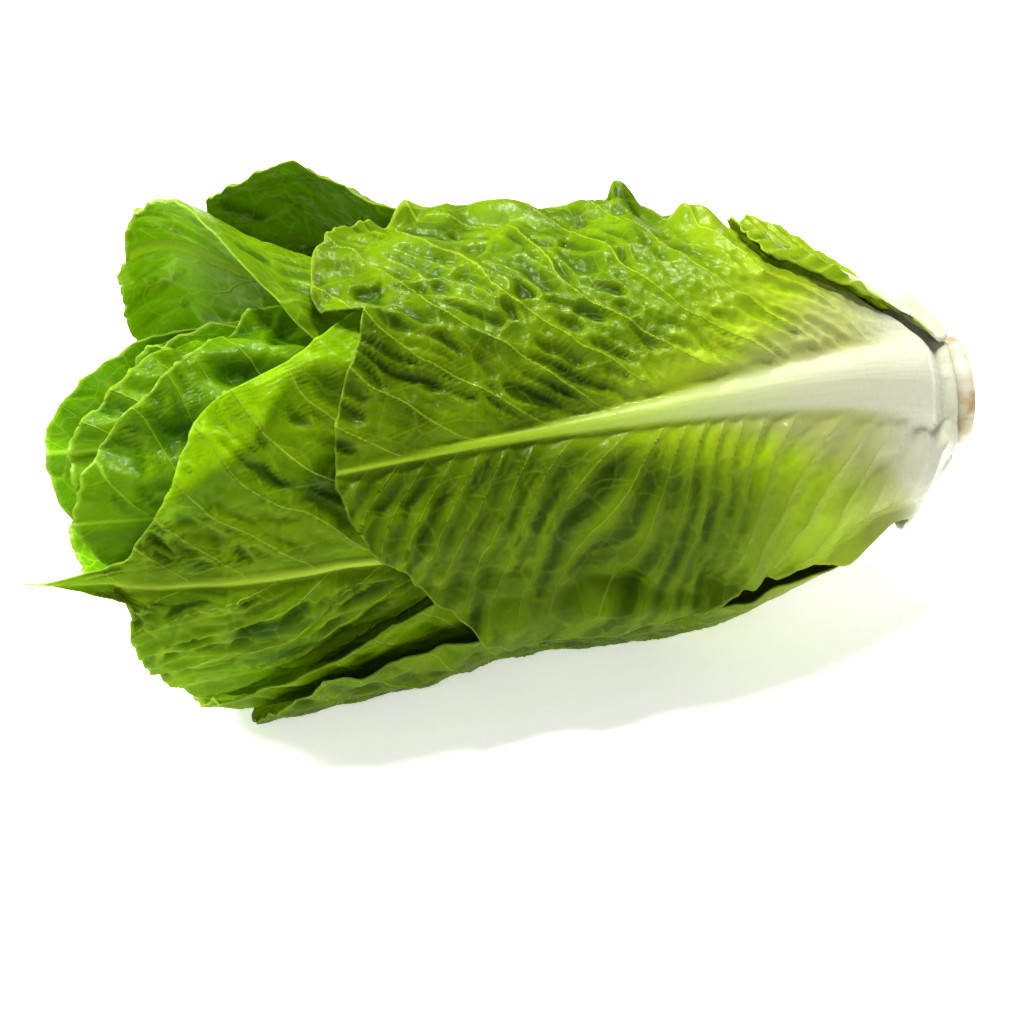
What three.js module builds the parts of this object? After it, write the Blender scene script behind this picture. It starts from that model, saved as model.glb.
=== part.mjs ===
// A head of romaine lettuce lying on its side, in millimetres, +Z up.
// The head's axis runs along X: the cut butt is at +X and the leaf tips point to -X. The origin is on the
// surface under the flat spot that the lowest leaf rests on. Every leaf is a closed blade with a rib, set in
// polar coordinates round the head's axis: u is the distance from the cut face towards the tips, the angle is
// 0 at the top and 90 degrees at the front (-Y), and r is the distance from the axis.
import * as THREE from 'three';

// The whole head
const CUT_FACE_X = 118;
const AXIS_HEIGHT = 54.5;
// Radius of the outermost leaf layer, as [u, r]
const BODY = [[0, 14.5], [8, 18], [15, 22.5], [29, 32], [43, 40.5], [65, 48.5], [88, 52.5], [120, 53],
  [150, 56], [180, 57.5], [270, 54]];

// The short stem that all leaves grow from, as [u, r], from the cut face to the growing point
const STEM = [[0, 0], [0, 13.2], [0.8, 14.8], [3, 15.3], [5.5, 14.2], [8, 12], [20, 10.4], [34, 8.8],
  [50, 5.8], [60, 2.4], [62, 0]];
const STEM_SIDES = 24;

// Leaves
const BLADE = 1.25;          // thickness of the blade
const GAP = 0.6;             // space between two leaves that lie on each other
const CLEARANCE = 0.4;       // least space between the flat triangles of two leaves
const LIFTS = 12;            // how often a leaf's points are lifted towards that
const CLASP = 0.07;          // how far up a leaf clasps the stem
const RIB_SHARE = 0.62;      // where along a leaf its side margins reach their full width
const SOFT_FLOOR = 2;        // how gently a leaf rounds off onto the surface

// Each leaf, innermost first. phi is the angle of its rib at the root and turn what it drifts by at the tip;
// root is u at the attachment; cap is u of the tip margin, from one side margin to the other; half is the
// half width on both sides of the rib, and neck that at the root; a leaf that hugs the stem has a wider neck
// on the second side, with where along the leaf it reaches its full width; depth is the share of the body's
// radius; flare adds to the radius, as [u, r]; lift raises the two side margins; wave is the height of the
// ruffles and waves their number; rib is the rib's width and height at the root; floor is the lowest z.
// A tongue is a point that the tip runs out in, as its length and its share of the half width; folds are
// places that stand up, as u, angle, height and reach along and round the head.
const LEAVES = [
  { name: 'heart_leaf_innermost', phi: 20, turn: 10, root: 48, cap: [130, 158, 168, 170, 166, 150, 120],
    half: [23, 23], neck: 4, depth: 0.17, flare: [[0, 0], [170, 1]], lift: [1, -1], wave: 0.8, waves: 3,
    rib: [7, 1.5], floor: 20 },
  { name: 'heart_leaf_back_low', phi: 215, turn: -10, root: 45, cap: [135, 168, 182, 186, 180, 160, 128],
    half: [34, 34], neck: 4.5, depth: 0.26, flare: [[0, 0], [150, 0], [186, 2]], lift: [0, 1], wave: 1,
    waves: 3, rib: [8, 1.8], floor: 18 },
  { name: 'heart_leaf_front_low', phi: 120, turn: 5, root: 42, cap: [140, 180, 195, 200, 192, 172, 135],
    half: [38, 38], neck: 4, depth: 0.35, flare: [[0, 0], [160, 0], [200, 3]], lift: [1, 0], wave: 1.2,
    waves: 3, rib: [9, 2], floor: 17 },
  { name: 'heart_leaf_back_high', phi: 318, turn: -8, root: 39, cap: [150, 186, 200, 204, 198, 180, 145],
    half: [42, 42], neck: 4.5, depth: 0.43, flare: [[0, 0], [170, 0], [210, 4]], lift: [0, 1],
    wave: 1.4, waves: 4, rib: [10, 2.2], floor: 17 },
  { name: 'inner_leaf_front_high', phi: 44, turn: 0, root: 35, cap: [150, 212, 236, 247, 243, 224, 175],
    half: [42, 42], neck: 3.6, depth: 0.49, flare: [[0, 0], [190, 1], [235, 8], [249, 8]],
    lift: [1, 1], wave: 1.6, waves: 4, rib: [11, 2.4], floor: 16 },
  { name: 'inner_leaf_bottom', phi: 186, turn: 0, root: 31, cap: [170, 200, 226, 244, 251, 244, 190],
    half: [48, 44], neck: 10, depth: 0.58, flare: [[0, 0], [190, 2], [253, 10]], lift: [1, 1], wave: 1.6,
    waves: 4, rib: [12, 2.6], floor: 14 },
  { name: 'inner_leaf_back', phi: 283, turn: 0, root: 27, cap: [196, 218, 228, 229, 222, 208, 178],
    half: [46, 46], neck: 11, depth: 0.58, flare: [[0, 0], [200, 1], [230, 3]], lift: [1, 1], wave: 2,
    waves: 4, rib: [13, 2.8], floor: 12 },
  { name: 'inner_leaf_back_low', phi: 246, turn: 0, root: 23, cap: [205, 240, 252, 257, 249, 230, 190],
    half: [52, 46], neck: 10, depth: 0.64, flare: [[0, 0], [190, 1], [257, 6]], lift: [1, 0], wave: 1.8,
    waves: 4, rib: [14, 3], floor: 11 },
  { name: 'inner_leaf_front', phi: 66, turn: 0, root: 19, cap: [198, 217, 238, 247, 235, 222, 190],
    half: [56, 52], neck: 12, depth: 0.76, flare: [[0, 0], [170, 3], [200, 11], [225, 13], [250, 12]],
    lift: [-4, 1], wave: 1.8, waves: 4, rib: [15, 3.2], floor: 10 },
  { name: 'hooded_leaf_back', phi: 300, turn: 0, root: 16, cap: [212, 228, 231, 229, 223, 212, 178],
    half: [56, 80], neck: 12, depth: 0.82,
    flare: [[0, 0], [165, 0], [178, 4], [187, 7], [197, 12], [206, 18], [213, 22], [222, 23], [231, 20]],
    lift: [0, 0], wave: 1.4, waves: 4, rib: [16, 2.6], floor: 9.4 },
  { name: 'pointed_leaf_front', phi: 100, turn: -20, root: 12,
    cap: [172, 188, 213, 219, 225, 232, 237, 236, 235, 233, 228, 220, 206], tongue: [23, 0.1],
    half: [58, 58], neck: 13, depth: 0.88,
    flare: [[0, 0], [140, 0], [180, 4], [205, 9], [225, 11], [262, 10]],
    lift: [0, 1], wave: 1.2, waves: 5, rib: [17, 3.8], floor: 9 },
  { name: 'lower_leaf_front', phi: 150, turn: -4, root: 12, cap: [170, 200, 216, 222, 220, 206, 170],
    half: [46, 48], neck: 13, depth: 0.9,
    flare: [[0, 0], [130, 0], [160, 5], [186, 10], [210, 12], [222, 10]],
    lift: [0, 1], wave: 1.4, waves: 4, rib: [17, 3.6], floor: 6.6 },
  { name: 'lower_leaf_back', phi: 218, turn: 0, root: 10, cap: [160, 196, 214, 218, 214, 194, 150],
    half: [56, 58], neck: 14, depth: 0.94, flare: [[0, 0], [140, 0], [190, 8], [218, 12]], lift: [1, 3],
    wave: 2, waves: 4, rib: [19, 3.4], floor: 4.2 },
  { name: 'outer_leaf_back', phi: 262, turn: 4, root: 8, cap: [140, 178, 192, 196, 190, 172, 146],
    half: [62, 58], neck: 15, depth: 0.96, flare: [[0, 0], [12, 1], [150, 2], [196, 8]], lift: [2, 1],
    wave: 2, waves: 5, rib: [22, 3], floor: 2.6 },
  { name: 'top_leaf_back', phi: 288, turn: 0, root: 4, cap: [160, 184, 200, 206, 205, 202, 185],
    half: [56, 44], neck: 14, hug: [22, 0.35], depth: 0.93,
    flare: [[0, 0], [130, 0], [145, 4], [156, 8], [166, 16], [177, 24], [188, 23], [206, 18]],
    lift: [0, 0], wave: 1.4, waves: 5, rib: [19, 2], floor: 4 },
  { name: 'outer_leaf_bottom', phi: 166, turn: 0, root: 6, cap: [188, 203, 207, 206, 200, 184, 150],
    half: [60, 60], neck: 24, hug: [24, 0.35], depth: 1,
    flare: [[0, 0], [4, 0], [9, 5], [15, 6], [35, 5], [70, 4], [100, 4], [140, 3], [165, 6], [207, 8]],
    lift: [1, 1], wave: 1.6, waves: 5, rib: [24, 4.8], floor: 0 },
  { name: 'outer_leaf_front', phi: 44, turn: 15, root: 6,
    cap: [163, 175, 181, 182, 177, 181, 182, 180, 176, 167, 158, 148, 138],
    half: [84, 56], neck: 17, hug: [34, 0.25], depth: 1.01, flare: [[0, 0], [150, 0], [184, 1]],
    lift: [1, 1], wave: 2, waves: 6, rib: [26, 5.4], floor: 0,
    folds: [[95, 329, 7, 5, 6], [77, 336, 5, 5, 6]] },
  { name: 'outer_leaf_stub', phi: 342, turn: -3, root: 5, cap: [56, 61, 63, 64, 63, 61, 56],
    half: [13, 17], neck: 6, depth: 1, flare: [[0, 0], [64, 0]], lift: [8, 0],
    wave: 0.6, waves: 3, rib: [20, 3], floor: 0 },
];

const radians = (degrees) => (degrees * Math.PI) / 180;
const wrap = (degrees) => degrees - 360 * Math.round(degrees / 360);
const mix = (a, b, share) => a + (b - a) * share;
const smooth = (x) => {
  const c = Math.min(1, Math.max(0, x));
  return c * c * (3 - 2 * c);
};
// The larger of two lengths, rounded off over a width where they meet
const softMax = (a, b, width) => {
  const h = Math.max(width - Math.abs(a - b), 0) / width;
  return Math.max(a, b) + (h * h * width) / 4;
};

// A smooth curve through knots [x, y], level beyond its ends
function along(knots, x) {
  const last = knots.length - 1;
  if (x <= knots[0][0]) return knots[0][1];
  if (x >= knots[last][0]) return knots[last][1];
  let k = 0;
  while (x > knots[k + 1][0]) k += 1;
  const slope = (i) => {
    const [a, b] = [knots[Math.max(i - 1, 0)], knots[Math.min(i + 1, last)]];
    return (b[1] - a[1]) / (b[0] - a[0]);
  };
  const [[x0, y0], [x1, y1]] = [knots[k], knots[k + 1]];
  const d = x1 - x0;
  const t = (x - x0) / d;
  return y0 * (2 * t ** 3 - 3 * t ** 2 + 1) + y1 * (3 * t ** 2 - 2 * t ** 3)
    + slope(k) * d * (t ** 3 - 2 * t ** 2 + t) + slope(k + 1) * d * (t ** 3 - t ** 2);
}

// From the head's polar coordinates to the part's frame and back
const place = ({ u, angle, r }) => new THREE.Vector3(CUT_FACE_X - u, -r * Math.sin(angle),
  AXIS_HEIGHT + r * Math.cos(angle));
const polar = (p) => ({ u: CUT_FACE_X - p.x, angle: Math.atan2(-p.y, p.z - AXIS_HEIGHT),
  r: Math.hypot(p.y, p.z - AXIS_HEIGHT) });

// What the head has grown to so far: the outermost radius in each cell of u and angle. A leaf that is laid
// over it follows a rounded-off copy, which lies nowhere under the true one.
class Girth {
  static TURN = 240;
  static STEP = 1.5;
  static LENGTH = 190;
  static WIDEN = [1, 2];
  static BLUR = [1, 2];

  constructor() {
    this.outer = new Float64Array(Girth.TURN * Girth.LENGTH);
    this.eased = this.outer;
  }

  static cell(u, angle) {
    const turn = ((angle / (2 * Math.PI)) * Girth.TURN + 2 * Girth.TURN) % Girth.TURN;
    return [Math.min(Girth.LENGTH - 2, Math.max(0, u / Girth.STEP)), turn];
  }

  static at(map, row, column) {
    const i = Math.min(Girth.LENGTH - 1, Math.max(0, row));
    return map[i * Girth.TURN + ((column + Girth.TURN) % Girth.TURN)];
  }

  cover({ u, angle, r }) {
    const [row, turn] = Girth.cell(u, angle);
    for (const i of [Math.floor(row), Math.floor(row) + 1])
      for (const j of [Math.floor(turn), Math.floor(turn) + 1]) {
        const k = i * Girth.TURN + (j % Girth.TURN);
        this.outer[k] = Math.max(this.outer[k], r);
      }
  }

  // Each cell takes what combine makes of the cells within reach, first along the head and then round it
  static sweep(map, reach, combine) {
    let now = map;
    for (const [di, dj] of [[1, 0], [0, 1]]) {
      const cells = reach[dj];
      const next = new Float64Array(now.length);
      for (let i = 0; i < Girth.LENGTH; i += 1)
        for (let j = 0; j < Girth.TURN; j += 1) {
          const near = [];
          for (let k = -cells; k <= cells; k += 1) near.push(Girth.at(now, i + k * di, j + k * dj));
          next[i * Girth.TURN + j] = combine(near);
        }
      now = next;
    }
    return now;
  }

  settle() {
    const widest = Girth.sweep(this.outer, Girth.WIDEN, (near) => Math.max(...near));
    this.eased = Girth.sweep(widest, Girth.BLUR, (near) => near.reduce((a, b) => a + b) / near.length);
  }

  static read(map, u, angle) {
    const [row, turn] = Girth.cell(u, angle);
    const [i, j] = [Math.floor(row), Math.floor(turn)];
    const [a, b] = [row - i, turn - j];
    const value = (di, dj) => Girth.at(map, i + di, j + dj);
    return mix(mix(value(0, 0), value(1, 0), a), mix(value(0, 1), value(1, 1), a), b);
  }

  rounded(u, angle) {
    return Girth.read(this.eased, u, angle);
  }

  outermost(u, angle) {
    const [i, j] = Girth.cell(u, angle).map(Math.floor);
    const corners = [[0, 0], [1, 0], [0, 1], [1, 1]];
    return Math.max(...corners.map(([di, dj]) => Girth.at(this.outer, i + di, j + dj)));
  }
}

// The stem's radius at u, for the leaves that clasp it
const stemRadius = (u) => along(STEM.slice(1), u);

// One point of a leaf on its outer and its inner face: s runs from its root to its tip margin, t from one
// side margin to the other, and raise is what it is lifted by
function leafPoint(leaf, s, t, girth, raise) {
  const side = t < 0 ? 0 : 1;
  const capKnots = leaf.cap.map((u, k) => [(2 * k) / (leaf.cap.length - 1) - 1, u]);
  const [tongueLength, tongueWidth] = leaf.tongue ?? [0, 1];
  const tongue = tongueLength * Math.max(0, 1 - Math.abs(t) / tongueWidth) ** 1.2;
  const u = mix(leaf.root, along(capKnots, t) + tongue * s ** 4, s);
  const core = stemRadius(u) + GAP;
  const body = Math.max(along(BODY, u), core);
  const grown = mix(core, body, leaf.depth * smooth(s / CLASP)) + along(leaf.flare, u);
  const [neck, fullAt] = side === 1 && leaf.hug ? leaf.hug : [leaf.neck, RIB_SHARE];
  const halfWidth = mix(neck, leaf.half[side], smooth(s / fullAt));
  const angle = radians(leaf.phi + leaf.turn * s) + (t * halfWidth) / Math.max(grown, halfWidth / 2.6);

  const margin = Math.abs(t) ** 3 * smooth(2 * s);
  const tip = s ** 5 * (1 - Math.abs(t) ** 3);
  const phase = leaf.phi / 57 + side * 2.1;
  const ruffle = leaf.wave * (margin * Math.sin(2 * Math.PI * leaf.waves * s + phase)
    + tip * Math.sin(1.5 * Math.PI * t * leaf.waves * 0.5 + phase));
  const folds = (leaf.folds ?? []).map(([at, toward, height, reach, spread]) => {
    const off = [(u - at) / reach, wrap((angle * 180) / Math.PI - toward) / spread];
    return height * Math.exp(-(off[0] ** 2) - off[1] ** 2);
  });
  const natural = grown + leaf.lift[side] * t * t * s + ruffle + folds.reduce((a, b) => a + b, 0);
  const inner = softMax(natural, girth.rounded(u, angle) + GAP, 1) + raise;

  const [ribWidth, ribHeight] = leaf.rib;
  const ribHalf = (ribWidth / 2) * (1 - s) ** 0.9 + 1;
  const across = Math.abs(t * halfWidth) / ribHalf;
  const ribRise = mix(0.3, 1, smooth(s / CLASP)) * (ribHeight * (1 - s) ** 1.1 + 0.4);
  const rib = across < 1 ? ribRise * (1 - across ** 2) : 0;
  const thickness = BLADE + rib;

  const faces = [inner + thickness, inner].map((r) => place({ u, angle, r }));
  const lowest = [leaf.floor, leaf.floor + thickness];
  faces.forEach((p, k) => {
    p.z = leaf.floor > 0 ? softMax(p.z, lowest[k], SOFT_FLOOR) : Math.max(p.z, lowest[k]);
  });
  return faces;
}

// The points of a leaf's two faces and their triangles. Every point that doesn't rest on the leaf's floor is
// lifted as far as the flat triangles round it need to clear what lies inside
function leafSheets(leaf, girth) {
  const { rows, columns } = leafGrid(leaf);
  const spots = [];
  for (let i = 0; i <= rows; i += 1)
    for (let j = 0; j <= columns; j += 1) {
      const [x, y] = [(2 * j) / columns - 1, i / rows];
      spots.push([y * (0.8 + 0.2 * y), Math.sign(x) * Math.abs(x) ** 1.25]);
    }
  const triangles = [];
  for (let i = 0; i < rows; i += 1)
    for (let j = 0; j < columns; j += 1) {
      const a = i * (columns + 1) + j;
      const [b, c, d] = [a + columns + 1, a + columns + 2, a + 1];
      triangles.push([a, b, c], [a, c, d]);
    }
  const raise = new Float64Array(spots.length);
  let faces = [];
  for (let pass = 0; pass < LIFTS; pass += 1) {
    faces = spots.map(([s, t], k) => leafPoint(leaf, s, t, girth, raise[k]));
    const lack = new Float64Array(spots.length);
    for (const corners of triangles)
      for (const [p, shares] of spread(corners.map((k) => faces[k][1]), 5)) {
        const { u, angle, r } = polar(p);
        const short = (girth.outermost(u, angle) + CLEARANCE - r) / shares.reduce((sum, w) => sum + w * w, 0);
        corners.forEach((k, c) => {
          lack[k] = Math.max(lack[k], short * shares[c]);
        });
      }
    lack.forEach((short, k) => {
      const rests = faces[k][0].z < leaf.floor + 0.5;
      if (!rests) raise[k] += short;
    });
  }
  return { outer: faces.map(([p]) => p), inner: faces.map(([, p]) => p), triangles };
}

// Points spread evenly over a flat triangle, its corners among them, each with its share of every corner
function spread([a, b, c], steps) {
  const points = [];
  for (let i = 0; i <= steps; i += 1)
    for (let j = 0; j <= steps - i; j += 1) {
      const shares = [1 - (i + j) / steps, i / steps, j / steps];
      const point = a.clone().multiplyScalar(shares[0]);
      point.addScaledVector(b, shares[1]).addScaledVector(c, shares[2]);
      points.push([point, shares]);
    }
  return points;
}

// How finely a leaf is divided, by its length
function leafGrid(leaf) {
  const length = Math.max(...leaf.cap) - leaf.root;
  if (length < 100) return { rows: 8, columns: 8 };
  return leaf.depth < 0.5 ? { rows: 9, columns: 10 } : { rows: 14, columns: 14 };
}

// A closed blade: the outer face, the inner face with the same triangles turned round, and a rim along every
// edge that only one triangle has
function closedShell({ outer, inner, triangles }) {
  const n = outer.length;
  const index = [];
  const edges = new Map();
  for (const [a, b, c] of triangles) {
    index.push(a, b, c, n + a, n + c, n + b);
    for (const [from, to] of [[a, b], [b, c], [c, a]]) edges.set(`${from},${to}`, [from, to]);
  }
  for (const [from, to] of edges.values())
    if (!edges.has(`${to},${from}`)) index.push(to, from, n + from, to, n + from, n + to);
  const geometry = new THREE.BufferGeometry().setFromPoints([...outer, ...inner]);
  geometry.setIndex(index);
  geometry.computeVertexNormals();
  return geometry;
}

function leafMaterial(leaf) {
  const pale = new THREE.Color(0xb4cc5a);
  const green = new THREE.Color(0x5f9420);
  return new THREE.MeshStandardMaterial({
    color: pale.lerp(green, Math.min(1, leaf.depth * 1.2)),
    roughness: 0.42,
    metalness: 0,
    side: THREE.DoubleSide,
  });
}

// The stem is turned round the head's axis, with its cut face at +X
function stemMesh() {
  const profile = STEM.map(([u, r]) => new THREE.Vector2(r, u));
  const geometry = new THREE.LatheGeometry(profile, STEM_SIDES);
  geometry.rotateZ(Math.PI / 2);
  geometry.translate(CUT_FACE_X, 0, AXIS_HEIGHT);
  const material = new THREE.MeshStandardMaterial({ color: 0xe6dcb8, roughness: 0.5, metalness: 0 });
  const mesh = new THREE.Mesh(geometry, material);
  mesh.name = 'stem';
  return mesh;
}

// The stem alone is what the first leaf is laid over
function stemGirth() {
  const girth = new Girth();
  for (let u = 0; u < STEM[STEM.length - 1][0]; u += 1)
    for (let k = 0; k < Girth.TURN; k += 1)
      girth.cover({ u, angle: (2 * Math.PI * k) / Girth.TURN, r: stemRadius(u) });
  girth.settle();
  return girth;
}

// Adds a leaf's outer face to the girth
function coverWithLeaf({ outer, triangles }, girth) {
  for (const corners of triangles)
    for (const [p] of spread(corners.map((k) => outer[k]), 10)) girth.cover(polar(p));
  girth.settle();
}

const head = new THREE.Group();
head.name = 'romaine_head';
head.add(stemMesh());
const girth = stemGirth();
for (const leaf of LEAVES) {
  const sheets = leafSheets(leaf, girth);
  const mesh = new THREE.Mesh(closedShell(sheets), leafMaterial(leaf));
  mesh.name = leaf.name;
  head.add(mesh);
  coverWithLeaf(sheets, girth);
}

export default head;
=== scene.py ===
"""A head of romaine lettuce that lies on its side on a plain pale floor.

The head's axis runs along X, with the cut butt at +X and the leaf tips at -X. Each leaf is set in polar
coordinates round that axis, in millimetres: u is the distance from the cut face towards the tips, the angle
is 0 at the top and 90 degrees at the front, and r is the distance from the axis.
"""

import logging
import math
from dataclasses import dataclass
from enum import Enum
from typing import Any, Sequence

import bmesh
import bpy
import numpy as np
from mathutils import Matrix, Vector


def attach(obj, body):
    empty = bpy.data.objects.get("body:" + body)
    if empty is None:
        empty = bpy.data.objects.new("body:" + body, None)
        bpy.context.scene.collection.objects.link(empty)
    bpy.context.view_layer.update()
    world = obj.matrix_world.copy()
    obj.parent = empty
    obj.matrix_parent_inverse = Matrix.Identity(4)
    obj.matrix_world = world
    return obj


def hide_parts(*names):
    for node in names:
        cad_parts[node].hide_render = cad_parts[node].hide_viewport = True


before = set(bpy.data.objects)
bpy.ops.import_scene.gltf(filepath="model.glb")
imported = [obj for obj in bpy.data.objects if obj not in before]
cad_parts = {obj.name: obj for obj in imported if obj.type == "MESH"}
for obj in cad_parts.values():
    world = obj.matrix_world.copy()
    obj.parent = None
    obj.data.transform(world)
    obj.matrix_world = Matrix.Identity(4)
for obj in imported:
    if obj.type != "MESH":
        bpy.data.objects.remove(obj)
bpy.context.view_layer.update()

Array = np.ndarray
Knots = Sequence[tuple[float, float]]
Colour = tuple[float, float, float, float]

log = logging.getLogger("romaine")

MM = 0.001
CUT_FACE_X = 118.0
AXIS_HEIGHT = 54.5
BODY: Knots = ((0, 14.5), (8, 18), (15, 22.5), (29, 32), (43, 40.5), (65, 48.5), (88, 52.5), (120, 53),
               (150, 56), (180, 57.5), (270, 54))
STEM: Knots = ((0, 0), (0, 13.2), (0.8, 14.8), (3, 15.3), (5.5, 14.2), (8, 12), (20, 10.4), (34, 8.8),
               (50, 5.8), (60, 2.4), (62, 0))


def smooth(x: Array) -> Array:
    """Rises smoothly from 0 to 1 as x goes from 0 to 1."""
    c = np.clip(x, 0, 1)
    return c * c * (3 - 2 * c)


def mix(a: Any, b: Any, share: Any) -> Any:
    """The value that lies share of the way from a to b."""
    return a + (b - a) * share


def soft_max(a: Array, b: Array, width: float) -> Array:
    """The larger of two lengths, rounded off over a width where they meet."""
    h = np.maximum(width - np.abs(a - b), 0) / width
    return np.maximum(a, b) + h * h * width / 4


def along(knots: Knots, x: Array) -> Array:
    """A smooth curve through knots, level beyond its ends.

    Args:
        knots: pairs of x and y, with x rising.
        x: where the curve is read.

    Returns:
        The curve's y at each x.
    """
    xs, ys = np.array(knots, float).T
    last = len(xs) - 1
    before, after = np.maximum(np.arange(last + 1) - 1, 0), np.minimum(np.arange(last + 1) + 1, last)
    slopes = (ys[after] - ys[before]) / (xs[after] - xs[before])
    x = np.clip(x, xs[0], xs[-1])
    k = np.clip(np.searchsorted(xs, x, side="left") - 1, 0, last - 1)
    d = xs[k + 1] - xs[k]
    t = (x - xs[k]) / d
    return (ys[k] * (2 * t**3 - 3 * t**2 + 1) + ys[k + 1] * (3 * t**2 - 2 * t**3)
            + slopes[k] * d * (t**3 - 2 * t**2 + t) + slopes[k + 1] * d * (t**3 - t**2))


def scatter(i: Array, j: Array, seed: int) -> Array:
    """A fixed number from 0 to 1 for each pair of whole numbers.

    Args:
        i: first whole number of each pair
        j: second whole number of each pair
        seed: another seed gives another set of numbers
    Returns:
        One number for each pair
    """
    h = (i.astype(np.int64) * 374761393 + j.astype(np.int64) * 668265263 + seed * 974634777) & 0xFFFFFFFF
    h = ((h ^ (h >> 13)) * 1274126177) & 0xFFFFFFFF
    return ((h ^ (h >> 16)) & 0xFFFFFF) / 0xFFFFFF


def noise(x: Array, y: Array, seed: int) -> Array:
    """Smooth noise from -1 to 1 with bumps about one unit wide.

    Args:
        x: places across
        y: places along
        seed: another seed gives another noise
    Returns:
        The noise at each place
    """
    i, j = np.floor(x), np.floor(y)
    a, b = smooth(x - i), smooth(y - j)
    near = mix(scatter(i, j, seed), scatter(i + 1, j, seed), a)
    far = mix(scatter(i, j + 1, seed), scatter(i + 1, j + 1, seed), a)
    return 2 * mix(near, far, b) - 1


def cells(x: Array, y: Array, seed: int) -> tuple[Array, Array]:
    """Scattered cells about one unit wide.

    Args:
        x: where they are read, across.
        y: where they are read, along.
        seed: what makes this scatter its own.

    Returns:
        How far each place is from its cell's border, and the cell's own number from 0 to 1.
    """
    i, j = np.floor(x), np.floor(y)
    first, second, own = np.full(x.shape, 9.0), np.full(x.shape, 9.0), np.zeros(x.shape)
    for di in (-1, 0, 1):
        for dj in (-1, 0, 1):
            a, b = i + di, j + dj
            across, up = a + 0.1 + 0.8 * scatter(a, b, seed), b + 0.1 + 0.8 * scatter(a, b, seed + 1)
            away = np.hypot(across - x, up - y)
            nearer = away < first
            second = np.where(nearer, first, np.minimum(second, away))
            own = np.where(nearer, scatter(a, b, seed + 2), own)
            first = np.minimum(first, away)
    return second - first, own


class Girth:
    """What the head has grown to so far: its outermost radius in cells of u and angle."""

    TURN = 240
    STEP = 1.5
    LENGTH = 190
    REACH = (1, 2)

    def __init__(self) -> None:
        """Starts as the bare stem."""
        self.outer = np.zeros((self.LENGTH, self.TURN))
        u, angle = np.meshgrid(np.arange(0, STEM[-1][0]), np.arange(self.TURN) * 2 * math.pi / self.TURN)
        self.cover(u.ravel(), angle.ravel(), stem_radius(u.ravel()))

    def _cell(self, u: Array, angle: Array) -> tuple[Array, Array]:
        """The row and column that a place falls in, with their fractions."""
        row = np.clip(u / self.STEP, 0, self.LENGTH - 2)
        return row, (angle / (2 * math.pi) * self.TURN) % self.TURN

    def _sweep(self, cells: Array, combine: Any) -> Array:
        """Gives each cell what combine makes of the cells in reach, along the head and then round it.

        Args:
            cells: a radius for each cell
            combine: np.max or np.mean
        Returns:
            The new radius of each cell
        """
        rows, turns = self.REACH
        padded = np.pad(cells, ((rows, rows), (0, 0)), mode="edge")
        near = [padded[k:k + self.LENGTH] for k in range(2 * rows + 1)]
        lengthways = combine(np.stack(near), axis=0)
        return combine(np.stack([np.roll(lengthways, k, 1) for k in range(-turns, turns + 1)]), axis=0)

    def cover(self, u: Array, angle: Array, r: Array) -> None:
        """Adds points of a leaf's outer face, then rounds the whole off.

        Args:
            u: each point's distance from the cut face
            angle: its angle round the axis
            r: its distance from the axis
        """
        row, turn = self._cell(u, angle)
        i, j = np.floor(row).astype(int), np.floor(turn).astype(int)
        for di in (0, 1):
            for dj in (0, 1):
                np.maximum.at(self.outer, (i + di, (j + dj) % self.TURN), r)
        self.eased = self._sweep(self._sweep(self.outer, np.max), np.mean)

    def rounded(self, u: Array, angle: Array) -> Array:
        """The rounded-off radius, which lies nowhere under the true one.

        Args:
            u: each place's distance from the cut face
            angle: its angle round the axis
        Returns:
            The radius at each place
        """
        row, turn = self._cell(u, angle)
        i, j = np.floor(row).astype(int), np.floor(turn).astype(int)
        a, b = row - i, turn - j
        j, k = j % self.TURN, (j + 1) % self.TURN
        near = mix(self.eased[i, j], self.eased[i + 1, j], a)
        return mix(near, mix(self.eased[i, k], self.eased[i + 1, k], a), b)


def stem_radius(u: Array) -> Array:
    """The stem's radius at u, for the leaves that clasp it."""
    return along(STEM[1:], u)


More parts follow.
